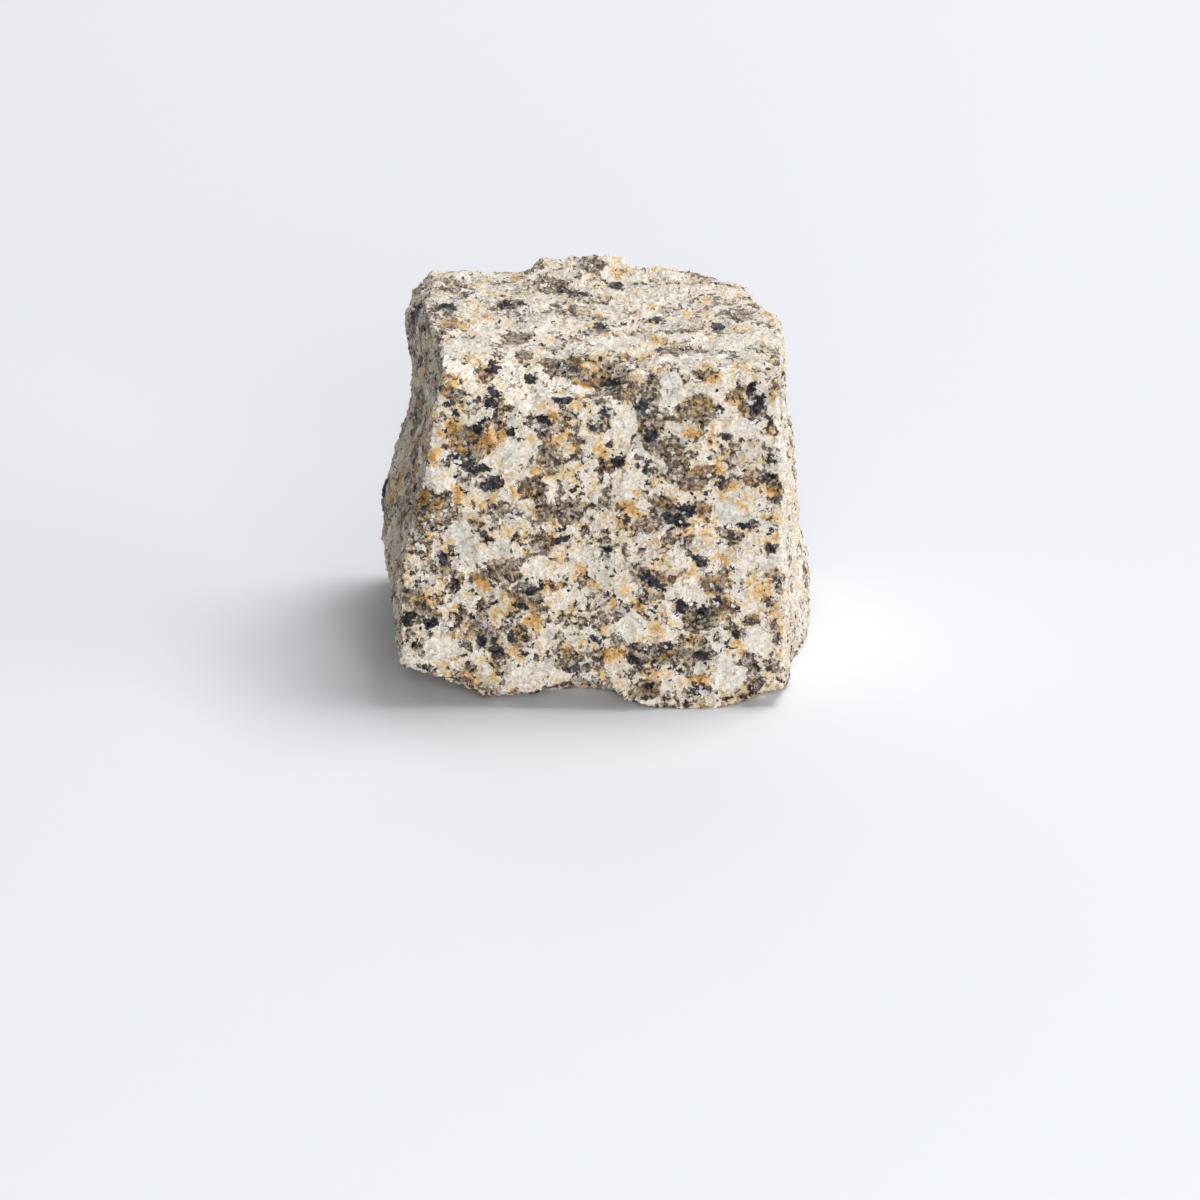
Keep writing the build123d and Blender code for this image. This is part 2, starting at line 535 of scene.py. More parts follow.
    def biotite(self, tree: bpy.types.NodeTree, fields: GraniteFields) -> bpy.types.NodeSocket:
        """Marks the biotite: ragged flakes, and specks of single grains.

        Args:
            tree: The tree to add to.
            fields: The finish's fields.

        Returns:
            One inside, nothing outside.
        """
        flakes = self.share(
            tree,
            fields.flakes["X"],
            [(fields.clusters, 0.5), (fields.crumbs, 1.2), (fields.fine, 0.8)],
            {Mineral.BIOTITE: -1.05, Mineral.FELDSPAR: 0.5},
            share=self.biotite_share,
            softness=0.04,
        )
        specks = self.share(
            tree,
            fields.grains["X"],
            [(fields.crumbs, 0.4)],
            {Mineral.FELDSPAR: 0.1},
            share=self.speck_share,
            softness=0.02,
        )
        return result(add_node(tree, "ShaderNodeMath", {0: flakes, 1: specks}, operation="MAXIMUM"))

    def feldspar_colour(self, tree: bpy.types.NodeTree, fields: GraniteFields) -> bpy.types.NodeSocket:
        """Adds white and cream feldspar, with a few grey crystals and fine shading.

        Args:
            tree: The tree to add to.
            fields: The finish's fields.

        Returns:
            The colour.
        """
        feldspar = self.blend(tree, fields.crumbs, self.cream, self.feldspar_white, self.feldspar_cream)
        feldspar = self.blend(tree, fields.crystals["Z"], self.grey, feldspar, self.feldspar_grey)
        return self.blend(tree, fields.fine, self.shade, feldspar, self.feldspar_shade, "MULTIPLY")

    def quartz_colour(self, tree: bpy.types.NodeTree, fields: GraniteFields) -> bpy.types.NodeSocket:
        """Adds quartz, dark where it is clear and paler where it is cracked.

        Args:
            tree: The tree to add to.
            fields: The finish's fields.

        Returns:
            The colour.
        """
        cracked = self.weigh(tree, fields.crumbs, [(fields.fine, 1.6), (fields.grains["Y"], 0.7)])
        smoky = self.blend(tree, cracked, self.smoky, self.quartz_dark, self.quartz_smoky)
        return self.blend(tree, cracked, self.pale, smoky, self.quartz_pale)

    def stained(
        self, tree: bpy.types.NodeTree, fields: GraniteFields, stone: bpy.types.NodeSocket
    ) -> bpy.types.NodeSocket:
        """Lets iron stain soak into the crystals, least of all into large whole feldspars.

        Args:
            tree: The tree to add to.
            fields: The finish's fields.
            stone: The colour of the clean crystals.

        Returns:
            The stained colour.
        """
        rust, whole = (
            result(add_node(tree, "ShaderNodeAttribute", attribute_name=mineral.value), "Fac")
            for mineral in (Mineral.RUST, Mineral.FELDSPAR)
        )
        parts = [(rust, 0.16), (whole, -0.11), (fields.crumbs, 0.45), (fields.fine, 0.25)]
        stain = self.weigh(tree, fields.stains, parts)
        iron = self.blend(tree, stain, self.gold, self.stain_cream, self.stain_gold)
        iron = self.blend(tree, stain, self.brown, iron, self.stain_brown)
        tinted = self.blend(tree, stain, self.tint, stone, iron, "MULTIPLY")
        return self.blend(tree, stain, self.cover, tinted, iron)

    def blows(self, tree: bpy.types.NodeTree, fields: GraniteFields) -> bpy.types.NodeSocket:
        """Adds a field that is high where sharp arrises were struck."""
        sharpness = add_node(tree, "ShaderNodeAttribute", attribute_name=ARRIS)
        return self.weigh(tree, fields.crumbs, [(result(sharpness, "Fac"), self.struck_weight / MM)])

    def bump(self, tree: bpy.types.NodeTree, fields: GraniteFields) -> bpy.types.NodeSocket:
        """Adds the relief of the smallest grains, which is too fine for the mesh.

        Args:
            tree: The tree to add to.
            fields: The finish's fields.

        Returns:
            The surface's normal.
        """
        broken = self.fabric.facets(tree, fields.place, self.grain, self.grain_slope, self.grain_step)
        height = self.weigh(tree, broken, [(fields.fine, self.sand)])
        return result(add_node(tree, "ShaderNodeBump", {"Height": height, "Distance": MM, "Strength": 1.0}))

    def cells(
        self, tree: bpy.types.NodeTree, bent: bpy.types.NodeSocket, across: float
    ) -> bpy.types.NodeOutputs:
        """Adds crystals, each with three even chances of its own.

        Args:
            tree: The tree to add to.
            bent: The bent point, in millimetres.
            across: Mean size of a crystal.

        Returns:
            The chances, as outputs named X, Y and Z.
        """
        crystals = add_node(tree, "ShaderNodeTexVoronoi", {"Vector": bent, "Scale": 1 / across})
        return add_node(tree, "ShaderNodeSeparateXYZ", {0: crystals.outputs["Color"]}).outputs

    def noise(
        self,
        tree: bpy.types.NodeTree,
        place: bpy.types.NodeSocket,
        span: float,
        detail: float,
        roughness: float = 0.5,
    ) -> bpy.types.NodeSocket:
        """Adds cloudy variation.

        Args:
            tree: The tree to add to.
            place: The point, in millimetres.
            span: From one cloud to the next, in millimetres.
            detail: How many finer layers it has.
            roughness: How strong each finer layer is.

        Returns:
            A field from nothing to one, about one half in the mean.
        """
        feeds = {"Vector": place, "Scale": 1 / span, "Detail": detail, "Roughness": roughness}
        return result(add_node(tree, "ShaderNodeTexNoise", feeds))

    def share(
        self,
        tree: bpy.types.NodeTree,
        chance: bpy.types.NodeSocket,
        clouds: list[tuple[bpy.types.NodeSocket, float]],
        pulls: dict[Mineral, float],
        share: float,
        softness: float,
    ) -> bpy.types.NodeSocket:
        """Marks the share of the crystals with the lowest chance.

        Args:
            tree: The tree to add to.
            chance: An even chance, one for each crystal.
            clouds: Fields about one half in the mean that move the chance, and their weights.
            pulls: The weight of each kind of set patch.
            share: How much of the surface is marked.
            softness: How wide the edge is.

        Returns:
            One inside, nothing outside.
        """
        parts = list(clouds)
        for mineral, weight in pulls.items():
            patches = add_node(tree, "ShaderNodeAttribute", attribute_name=mineral.value)
            parts.append((patches.outputs["Fac"], weight))
        total = self.weigh(tree, chance, parts)
        level = share + sum(weight for _, weight in clouds) / 2
        feeds = {"Value": total, "From Min": level + softness, "From Max": level - softness}
        return result(add_node(tree, "ShaderNodeMapRange", feeds))

    def weigh(
        self,
        tree: bpy.types.NodeTree,
        start: bpy.types.NodeSocket,
        parts: list[tuple[bpy.types.NodeSocket, float]],
    ) -> bpy.types.NodeSocket:
        """Adds weighted fields to a first one.

        Args:
            tree: The tree to add to.
            start: The first field.
            parts: The other fields and their weights.

        Returns:
            The sum.
        """
        total = start
        for part, weight in parts:
            feeds = {0: part, 1: weight, 2: total}
            total = result(add_node(tree, "ShaderNodeMath", feeds, operation="MULTIPLY_ADD"))
        return total

    def blend(
        self,
        tree: bpy.types.NodeTree,
        factor: bpy.types.NodeSocket,
        ramp: Ramp,
        first: bpy.types.NodeSocket | str,
        second: bpy.types.NodeSocket | str,
        way: str = "MIX",
    ) -> bpy.types.NodeSocket:
        """Goes from one colour to another as a field rises.

        Args:
            tree: The tree to add to.
            factor: The field.
            ramp: Where the first colour ends, and where the second one begins.
            first: A colour, as a socket or as sRGB hex.
            second: The other colour.
            way: How the second colour lies on the first one.

        Returns:
            The blended colour.
        """
        feeds = {"Value": factor, "From Min": ramp[0], "From Max": ramp[1]}
        amount = result(add_node(tree, "ShaderNodeMapRange", feeds))
        ends = [c if isinstance(c, bpy.types.NodeSocket) else linear(c) for c in (first, second)]
        feeds = {"Factor": amount, "A": ends[0], "B": ends[1]}
        return result(add_node(tree, "ShaderNodeMix", feeds, data_type="RGBA", blend_type=way))


@dataclass(frozen=True)
class SplitStone:
    """The stone itself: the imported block, remeshed finely, with crumbled arrises and relief."""

    relief: SplitRelief
    finish: GraniteFinish
    patches: tuple[Patch, ...]
    node: str = "granite_sett"
    slot: str = "granite"
    cell: float = 0.32  # side of a mesh cell, in millimetres
    triangles: int = 185_000  # kept once flat crystal faces are thinned out
    crystal_edge: float = 38.0  # the least angle, in degrees, that shades as an edge
    weld: float = 0.001  # corners nearer than this are one, in millimetres

    def build(self, frame: dict) -> bpy.types.Object:
        """Builds the stone and puts it on its body.


        Returns:
            The stone.
        """
        rough = bpy.data.objects.new("rough_stone", self.merged(frame["nodes"][self.node].data))
        bpy.context.scene.collection.objects.link(rough)
        remesh = rough.modifiers.new("even_cells", "REMESH")
        remesh.mode = "VOXEL"
        remesh.voxel_size = self.cell * MM
        raised = rough.modifiers.new("split_relief", "NODES")
        raised.node_group = self.relief.tree()
        rough.data = self.evaluated(rough)
        rough.modifiers.clear()
        thinned = rough.modifiers.new("thinned", "DECIMATE")
        thinned.ratio = min(1.0, self.triangles / (2 * len(rough.data.polygons)))
        mesh = self.evaluated(rough)
        bpy.data.objects.remove(rough)

        mesh.name = "split_stone"
        self.keep_inside(mesh, *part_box(self.node))
        mesh.shade_smooth()
        mesh.set_sharp_from_angle(angle=math.radians(self.crystal_edge))
        self.mark_patches(mesh)
        mesh.materials.clear()
        mesh.materials.append(self.finish.build())
        stone = bpy.data.objects.new("split_stone", mesh)
        bpy.context.scene.collection.objects.link(stone)
        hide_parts(self.node)
        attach(stone, "root")
        return stone

    def merged(self, solid: bpy.types.Mesh) -> bpy.types.Mesh:
        """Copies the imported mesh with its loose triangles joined.

        Args:
            solid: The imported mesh.

        Returns:
            The copy.
        """
        mesh = solid.copy()
        shape = bmesh.new()
        shape.from_mesh(mesh)
        bmesh.ops.remove_doubles(shape, verts=shape.verts, dist=self.weld * MM)
        shape.to_mesh(mesh)
        shape.free()
        return mesh

    def evaluated(self, piece: bpy.types.Object) -> bpy.types.Mesh:
        """Makes a mesh of a piece with its modifiers applied."""
        graph = bpy.context.evaluated_depsgraph_get()
        return bpy.data.meshes.new_from_object(piece.evaluated_get(graph), depsgraph=graph)

    def keep_inside(self, mesh: bpy.types.Mesh, low: Vector, high: Vector) -> None:
        """Presses the few crystals that stand out of the block's box back to it.

        Args:
            mesh: The relief mesh.
            low: The lowest corner of the box.
            high: The highest corner of the box.
        """
        places = np.empty(len(mesh.vertices) * 3, np.float32)
        mesh.vertices.foreach_get("co", places)
        pressed = np.clip(places.reshape(-1, 3), np.array(low), np.array(high))
        mesh.vertices.foreach_set("co", pressed.astype(np.float32).ravel())
        mesh.update()

    def mark_patches(self, mesh: bpy.types.Mesh) -> None:
        """Writes how much of each mineral the set patches add, as one attribute for each.

        Args:
            mesh: The relief mesh.
        """
        count = len(mesh.vertices)
        places, normals = np.empty(count * 3), np.empty(count * 3)
        mesh.vertices.foreach_get("co", places)
        mesh.vertices.foreach_get("normal", normals)
        places, normals = places.reshape(-1, 3) / MM, normals.reshape(-1, 3)
        for mineral in Mineral:
            covers = [p.cover(places, normals) for p in self.patches if p.mineral is mineral]
            amount = np.max([np.zeros(count), *covers], axis=0)
            attribute = mesh.attributes.new(mineral.value, "FLOAT", "POINT")
            attribute.data.foreach_set("value", amount.astype(np.float32))


@dataclass(frozen=True)
class StudioFloor:
    """A plain pale floor that keeps the stone's shadow."""

    side: float = 8.0  # in metres
    seen: str = "#EBEDF1"
    lit_by: str = "#B9BBBE"

    def build(self) -> bpy.types.Object:
        """Builds the floor with its finish.

        Returns:
            The floor.
        """
        mesh = bpy.data.meshes.new("floor")
        shape = bmesh.new()
        bmesh.ops.create_grid(shape, x_segments=1, y_segments=1, size=self.side / 2)
        shape.to_mesh(mesh)
        shape.free()
        mesh.materials.append(self.finish())
        floor = bpy.data.objects.new("floor", mesh)
        bpy.context.scene.collection.objects.link(floor)
        return floor

    def finish(self) -> bpy.types.Material:
        """Makes matt paper, pale to the eye and in gloss, greyer in the light it throws on the stone.

        Returns:
            The material.
        """
        material = bpy.data.materials.new("matt_paper")
        material.use_nodes = True
        tree = material.node_tree
        tree.nodes.clear()
        feeds = {"Factor": shown(tree), "A": linear(self.lit_by), "B": linear(self.seen)}
        colour = result(add_node(tree, "ShaderNodeMix", feeds, data_type="RGBA"))
        feeds = {"Base Color": colour, "Roughness": 0.9, "Specular IOR Level": 0.0}
        surface = add_node(tree, "ShaderNodeBsdfPrincipled", feeds)
        add_node(tree, "ShaderNodeOutputMaterial", {"Surface": result(surface)})
        return material


@dataclass(frozen=True)
class Softbox:
    """A square studio light, placed and measured in metres."""

    name: str
    place: tuple[float, float, float]
    side: float
    watts: float

    def build(self) -> bpy.types.Object:
        """Hangs the light, turned to the stone.

        Returns:
            The light.
        """
        lamp = bpy.data.lights.new(self.name, "AREA")
        lamp.shape = "SQUARE"
        lamp.size = self.side
        lamp.energy = self.watts
        light = bpy.data.objects.new(self.name, lamp)
        light.location = self.place
        light.rotation_mode = "QUATERNION"
        light.rotation_quaternion = (-Vector(self.place)).to_track_quat("-Z", "Y")
        light.visible_camera = False
        bpy.context.scene.collection.objects.link(light)
        return light


@dataclass(frozen=True)
class Studio:
    """Floor, lights and the pale room round them."""

    floor: StudioFloor
    lights: tuple[Softbox, ...]
    room: str = "#F3F6FB"
    room_strength: float = 0.11  # with which it lights the stone; the eye sees it with one of 1.0

    def build(self) -> list[bpy.types.Object]:
        """Builds the studio.

        Returns:
            The floor and the lights.
        """
        pieces = [self.floor.build(), *(light.build() for light in self.lights)]
        world = bpy.data.worlds.new("room")
        world.use_nodes = True
        tree = world.node_tree
        tree.nodes.clear()
        feeds = {"Factor": shown(tree), "A": self.room_strength, "B": 1.0}
        strength = result(add_node(tree, "ShaderNodeMix", feeds))
        air = add_node(tree, "ShaderNodeBackground", {"Color": linear(self.room), "Strength": strength})
        add_node(tree, "ShaderNodeOutputWorld", {"Surface": result(air)})
        bpy.context.scene.world = world
        bpy.context.scene.view_settings.view_transform = "Standard"
        return pieces


@dataclass(frozen=True)
class StudioCamera:
    """A long lens, a metre off and looking down at the front and the top."""

    place: tuple[float, float, float] = (0.0006, -0.9737, 0.3790)
    aim: tuple[float, float, float] = (0.0005, 0.0, 0.0073)
    roll: float = -0.364  # in degrees
    lens: float = 182.5  # this and the sensor's width in millimetres
    sensor: float = 36.0

    def build(self) -> bpy.types.Object:
        """Stands the camera up and makes it the scene's.

        Returns:
            The camera.
        """
        lens = bpy.data.cameras.new("camera")
        lens.lens = self.lens
        lens.sensor_width = self.sensor
        camera = bpy.data.objects.new("camera", lens)
        look = Vector(self.aim) - Vector(self.place)
        turned = look.to_track_quat("-Z", "Y").to_matrix().to_4x4()
        rolled = turned @ Matrix.Rotation(math.radians(self.roll), 4, "Z")
        camera.matrix_world = Matrix.Translation(Vector(self.place)) @ rolled
        bpy.context.scene.collection.objects.link(camera)
        bpy.context.scene.camera = camera
        return camera


FRONT_PATCHES = (
    # Black mica, from the top down
    Patch(Mineral.BIOTITE, Side.FRONT, 17.0, 56.0, 1.6, 1.2),
    Patch(Mineral.BIOTITE, Side.FRONT, -17.0, 56.2, 1.8, 2.4, -45),
    Patch(Mineral.BIOTITE, Side.FRONT, -25.7, 55.0, 1.6, 3.0, 15),
    Patch(Mineral.BIOTITE, Side.FRONT, 25.7, 54.0, 1.6, 2.6, -30),
    Patch(Mineral.BIOTITE, Side.FRONT, -17.0, 52.2, 3.0, 2.4),
    Patch(Mineral.BIOTITE, Side.FRONT, -24.2, 51.8, 1.4, 1.4),
    Patch(Mineral.BIOTITE, Side.FRONT, -27.5, 51.0, 2.6, 2.2, 0, 0.8),
    Patch(Mineral.BIOTITE, Side.FRONT, 26.9, 51.6, 1.6, 3.0, -20),
    Patch(Mineral.BIOTITE, Side.FRONT, 20.3, 51.0, 1.4, 1.4),
    Patch(Mineral.BIOTITE, Side.FRONT, 1.5, 50.5, 1.8, 1.6),
    Patch(Mineral.BIOTITE, Side.FRONT, -6.0, 52.8, 3.6, 1.6, -15),
    Patch(Mineral.BIOTITE, Side.FRONT, -8.6, 49.0, 2.2, 1.6),
    Patch(Mineral.BIOTITE, Side.FRONT, 8.0, 51.0, 1.8, 3.2),
    Patch(Mineral.BIOTITE, Side.FRONT, 8.8, 46.4, 2.0, 3.0, 10),
    Patch(Mineral.BIOTITE, Side.FRONT, -19.8, 47.7, 1.6, 2.0),
    Patch(Mineral.BIOTITE, Side.FRONT, -14.0, 46.8, 1.6, 1.8),
    Patch(Mineral.BIOTITE, Side.FRONT, 21.6, 46.0, 1.3, 2.6),
    Patch(Mineral.BIOTITE, Side.FRONT, -23.7, 42.7, 2.0, 2.0),
    Patch(Mineral.BIOTITE, Side.FRONT, -20.0, 40.9, 4.6, 2.2, -12),
    Patch(Mineral.BIOTITE, Side.FRONT, 3.7, 42.0, 2.0, 1.6),
    Patch(Mineral.BIOTITE, Side.FRONT, -17.4, 38.0, 4.4, 2.6, 15),
    Patch(Mineral.BIOTITE, Side.FRONT, 20.7, 38.3, 0.8, 2.6),
    Patch(Mineral.BIOTITE, Side.FRONT, 28.6, 39.2, 2.4, 1.0),
    Patch(Mineral.BIOTITE, Side.FRONT, -9.6, 34.6, 1.2, 3.6),
    Patch(Mineral.BIOTITE, Side.FRONT, 15.4, 34.2, 2.4, 2.6),
    Patch(Mineral.BIOTITE, Side.FRONT, 12.6, 32.6, 3.6, 2.0, -30),
    Patch(Mineral.BIOTITE, Side.FRONT, 24.4, 31.0, 1.8, 1.1, -10),
    Patch(Mineral.BIOTITE, Side.FRONT, -18.4, 29.3, 1.8, 1.2, -25),
    Patch(Mineral.BIOTITE, Side.FRONT, -5.7, 28.7, 3.2, 1.3, 25),
    Patch(Mineral.BIOTITE, Side.FRONT, 1.7, 27.5, 2.4, 1.4, -15),
    Patch(Mineral.BIOTITE, Side.FRONT, 28.8, 27.2, 2.4, 1.4, -25),
    Patch(Mineral.BIOTITE, Side.FRONT, 17.0, 25.2, 2.2, 2.2),
    Patch(Mineral.BIOTITE, Side.FRONT, -25.5, 25.5, 1.2, 2.6),
    Patch(Mineral.BIOTITE, Side.FRONT, 9.0, 22.2, 3.2, 1.8, -20),
    Patch(Mineral.BIOTITE, Side.FRONT, -23.3, 20.6, 2.6, 1.4, 20),
    Patch(Mineral.BIOTITE, Side.FRONT, -10.8, 20.2, 1.8, 1.6),
    Patch(Mineral.BIOTITE, Side.FRONT, -12.8, 17.8, 2.2, 1.4),
    Patch(Mineral.BIOTITE, Side.FRONT, 20.0, 18.7, 1.1, 1.4),
    Patch(Mineral.BIOTITE, Side.FRONT, 13.9, 17.5, 2.4, 2.0, -35),
    Patch(Mineral.BIOTITE, Side.FRONT, 17.6, 16.1, 1.4, 2.0),
    Patch(Mineral.BIOTITE, Side.FRONT, -31.2, 15.6, 2.8, 3.6, 30),
    Patch(Mineral.BIOTITE, Side.FRONT, -27.4, 14.4, 2.4, 1.4),
    Patch(Mineral.BIOTITE, Side.FRONT, -19.4, 11.6, 1.6, 2.0, 40),
    Patch(Mineral.BIOTITE, Side.FRONT, 11.7, 10.9, 2.6, 1.6),
    Patch(Mineral.BIOTITE, Side.FRONT, -16.6, 9.4, 1.6, 3.4, -10),
    Patch(Mineral.BIOTITE, Side.FRONT, 17.0, 9.2, 2.4, 1.6, -20),
    Patch(Mineral.BIOTITE, Side.FRONT, 6.4, 8.6, 3.2, 1.2, -10),
    Patch(Mineral.BIOTITE, Side.FRONT, -28.4, 7.2, 1.8, 1.1),
    Patch(Mineral.BIOTITE, Side.FRONT, -3.9, 6.9, 2.4, 1.4),
    Patch(Mineral.BIOTITE, Side.FRONT, 28.9, 7.4, 1.3, 1.0),
    Patch(Mineral.BIOTITE, Side.FRONT, 8.4, 4.2, 2.6, 1.4),
    # Smoky quartz
    Patch(Mineral.QUARTZ, Side.FRONT, -23.0, 53.8, 5.0, 2.6),
    Patch(Mineral.QUARTZ, Side.FRONT, 0.8, 53.6, 4.2, 3.4),
    Patch(Mineral.QUARTZ, Side.FRONT, 8.4, 48.6, 3.0, 9.0, 6),
    Patch(Mineral.QUARTZ, Side.FRONT, 17.4, 50.4, 5.0, 5.0),
    Patch(Mineral.QUARTZ, Side.FRONT, 26.0, 50.6, 4.4, 4.6),
    Patch(Mineral.QUARTZ, Side.FRONT, -21.0, 45.6, 8.0, 4.4, -15),
    Patch(Mineral.QUARTZ, Side.FRONT, -8.4, 45.4, 2.8, 7.0),
    Patch(Mineral.QUARTZ, Side.FRONT, 17.4, 40.2, 4.8, 2.8),
    Patch(Mineral.QUARTZ, Side.FRONT, 26.0, 38.8, 3.4, 2.8),
    Patch(Mineral.QUARTZ, Side.FRONT, -10.6, 37.8, 4.6, 3.6),
    Patch(Mineral.QUARTZ, Side.FRONT, -6.0, 33.4, 7.0, 4.0),
    Patch(Mineral.QUARTZ, Side.FRONT, 12.0, 34.0, 8.4, 2.8, -45),
    Patch(Mineral.QUARTZ, Side.FRONT, 17.6, 33.6, 2.6, 2.6),
    Patch(Mineral.QUARTZ, Side.FRONT, 22.4, 28.8, 4.6, 2.6, -20),
    Patch(Mineral.QUARTZ, Side.FRONT, -9.0, 27.8, 4.0, 3.4),
    Patch(Mineral.QUARTZ, Side.FRONT, -15.2, 23.8, 6.0, 3.4, -20),
    Patch(Mineral.QUARTZ, Side.FRONT, -12.0, 19.4, 5.0, 4.4),
    Patch(Mineral.QUARTZ, Side.FRONT, 8.0, 22.8, 6.0, 3.6, -20),
    Patch(Mineral.QUARTZ, Side.FRONT, 20.0, 21.4, 6.0, 3.0),
    Patch(Mineral.QUARTZ, Side.FRONT, -30.0, 17.6, 4.6, 5.4, 30),
    Patch(Mineral.QUARTZ, Side.FRONT, 15.4, 15.4, 2.8, 2.4),
    Patch(Mineral.QUARTZ, Side.FRONT, -19.0, 13.0, 5.4, 3.6, -20),
    Patch(Mineral.QUARTZ, Side.FRONT, 11.0, 9.4, 12.0, 3.0, -6),
    Patch(Mineral.QUARTZ, Side.FRONT, 25.8, 15.0, 2.8, 2.4),
    Patch(Mineral.QUARTZ, Side.FRONT, -4.6, 8.0, 5.0, 3.4),
    Patch(Mineral.QUARTZ, Side.FRONT, 8.0, 3.4, 5.0, 3.4),
    # Pit in the left arris: dark quartz, mica and brown stain, partly its own colour and partly painted
    # shade in the hollow
    Patch(Mineral.QUARTZ, Side.FRONT, -29.6, 34.6, 4.6, 5.4),
    Patch(Mineral.BIOTITE, Side.FRONT, -29.2, 33.8, 2.0, 2.6),
    Patch(Mineral.RUST, Side.FRONT, -29.6, 34.8, 4.4, 5.0, 0, 1.4),
    # White and cream feldspar
    Patch(Mineral.FELDSPAR, Side.FRONT, 12.4, 54.0, 4.0, 6.0),
    Patch(Mineral.FELDSPAR, Side.FRONT, -12.0, 52.4, 6.0, 3.0),
    Patch(Mineral.FELDSPAR, Side.FRONT, 4.6, 48.0, 4.0, 6.0),
    Patch(Mineral.FELDSPAR, Side.FRONT, -27.6, 46.4, 2.8, 5.0),
    Patch(Mineral.FELDSPAR, Side.FRONT, -13.2, 43.4, 10.6, 3.2, 18),
    Patch(Mineral.FELDSPAR, Side.FRONT, 24.6, 47.8, 8.0, 2.6, 8),
    Patch(Mineral.FELDSPAR, Side.FRONT, -25.8, 38.6, 4.6, 4.4),
    Patch(Mineral.FELDSPAR, Side.FRONT, 5.0, 38.4, 4.6, 5.0),
    Patch(Mineral.FELDSPAR, Side.FRONT, 21.0, 32.8, 5.0, 3.4),
    Patch(Mineral.FELDSPAR, Side.FRONT, -23.0, 29.6, 5.0, 4.0),
    Patch(Mineral.FELDSPAR, Side.FRONT, 25.4, 25.2, 7.0, 2.8, -4),
    Patch(Mineral.FELDSPAR, Side.FRONT, 14.4, 21.2, 3.4, 3.2),
    Patch(Mineral.FELDSPAR, Side.FRONT, -6.4, 18.6, 3.6, 3.4),
    Patch(Mineral.FELDSPAR, Side.FRONT, -26.0, 10.6, 6.0, 3.0),
    Patch(Mineral.FELDSPAR, Side.FRONT, 5.0, 14.0, 5.0, 3.4),
    Patch(Mineral.FELDSPAR, Side.FRONT, 26.8, 11.4, 5.0, 4.6),
    Patch(Mineral.FELDSPAR, Side.FRONT, 22.0, 5.4, 6.0, 4.0),
    Patch(Mineral.FELDSPAR, Side.FRONT, -12.0, 5.4, 6.0, 3.4),
    # Iron stain
    Patch(Mineral.RUST, Side.FRONT, -21.0, 46.4, 11.0, 6.0, -10, 0.6),
    Patch(Mineral.RUST, Side.FRONT, -24.6, 47.4, 3.4, 3.0, 0, 1.5),
    Patch(Mineral.RUST, Side.FRONT, -19.8, 44.6, 3.4, 1.8, -25, 1.3),
    Patch(Mineral.RUST, Side.FRONT, -17.6, 46.0, 2.0, 1.8),
    Patch(Mineral.RUST, Side.FRONT, -15.4, 46.4, 1.8, 2.2),
    Patch(Mineral.RUST, Side.FRONT, -26.8, 43.2, 1.8, 2.4),
    Patch(Mineral.RUST, Side.FRONT, -25.6, 54.0, 1.6, 3.0, 20),
    Patch(Mineral.RUST, Side.FRONT, -2.9, 55.4, 3.4, 1.8),
    Patch(Mineral.RUST, Side.FRONT, -7.2, 49.2, 2.2, 1.4),
    Patch(Mineral.RUST, Side.FRONT, -6.4, 45.6, 2.2, 2.4),
    Patch(Mineral.RUST, Side.FRONT, 1.5, 44.2, 4.0, 2.6),
    Patch(Mineral.RUST, Side.FRONT, 18.6, 56.6, 3.6, 2.8),
    Patch(Mineral.RUST, Side.FRONT, 15.6, 47.0, 3.0, 2.0),
    Patch(Mineral.RUST, Side.FRONT, 26.0, 45.0, 2.4, 2.0),
    Patch(Mineral.RUST, Side.FRONT, 22.5, 37.8, 3.0, 2.0),
    Patch(Mineral.RUST, Side.FRONT, 29.2, 36.4, 2.4, 2.4),
    Patch(Mineral.RUST, Side.FRONT, -22.8, 36.6, 2.4, 2.0),
    Patch(Mineral.RUST, Side.FRONT, -23.2, 35.0, 2.0, 2.0),
    Patch(Mineral.RUST, Side.FRONT, 5.2, 34.4, 3.4, 3.0),
    Patch(Mineral.RUST, Side.FRONT, 16.4, 27.2, 2.0, 1.8),
    Patch(Mineral.RUST, Side.FRONT, 23.2, 25.4, 4.2, 1.6),
    Patch(Mineral.RUST, Side.FRONT, -19.4, 21.6, 5.0, 1.8, -35),
    Patch(Mineral.RUST, Side.FRONT, 7.0, 18.2, 3.0, 1.8, -35),
    Patch(Mineral.RUST, Side.FRONT, 26.4, 19.4, 2.2, 1.6),
    Patch(Mineral.RUST, Side.FRONT, -10.4, 15.2, 2.8, 3.2),
    Patch(Mineral.RUST, Side.FRONT, -17.0, 16.4, 2.2, 1.8),
    Patch(Mineral.RUST, Side.FRONT, 2.6, 9.6, 4.4, 2.4),
    Patch(Mineral.RUST, Side.FRONT, 15.0, 11.6, 3.0, 1.4),
    Patch(Mineral.RUST, Side.FRONT, -13.2, 8.7, 1.4, 1.4),
    Patch(Mineral.RUST, Side.FRONT, 17.0, 5.0, 4.0, 1.6),
)

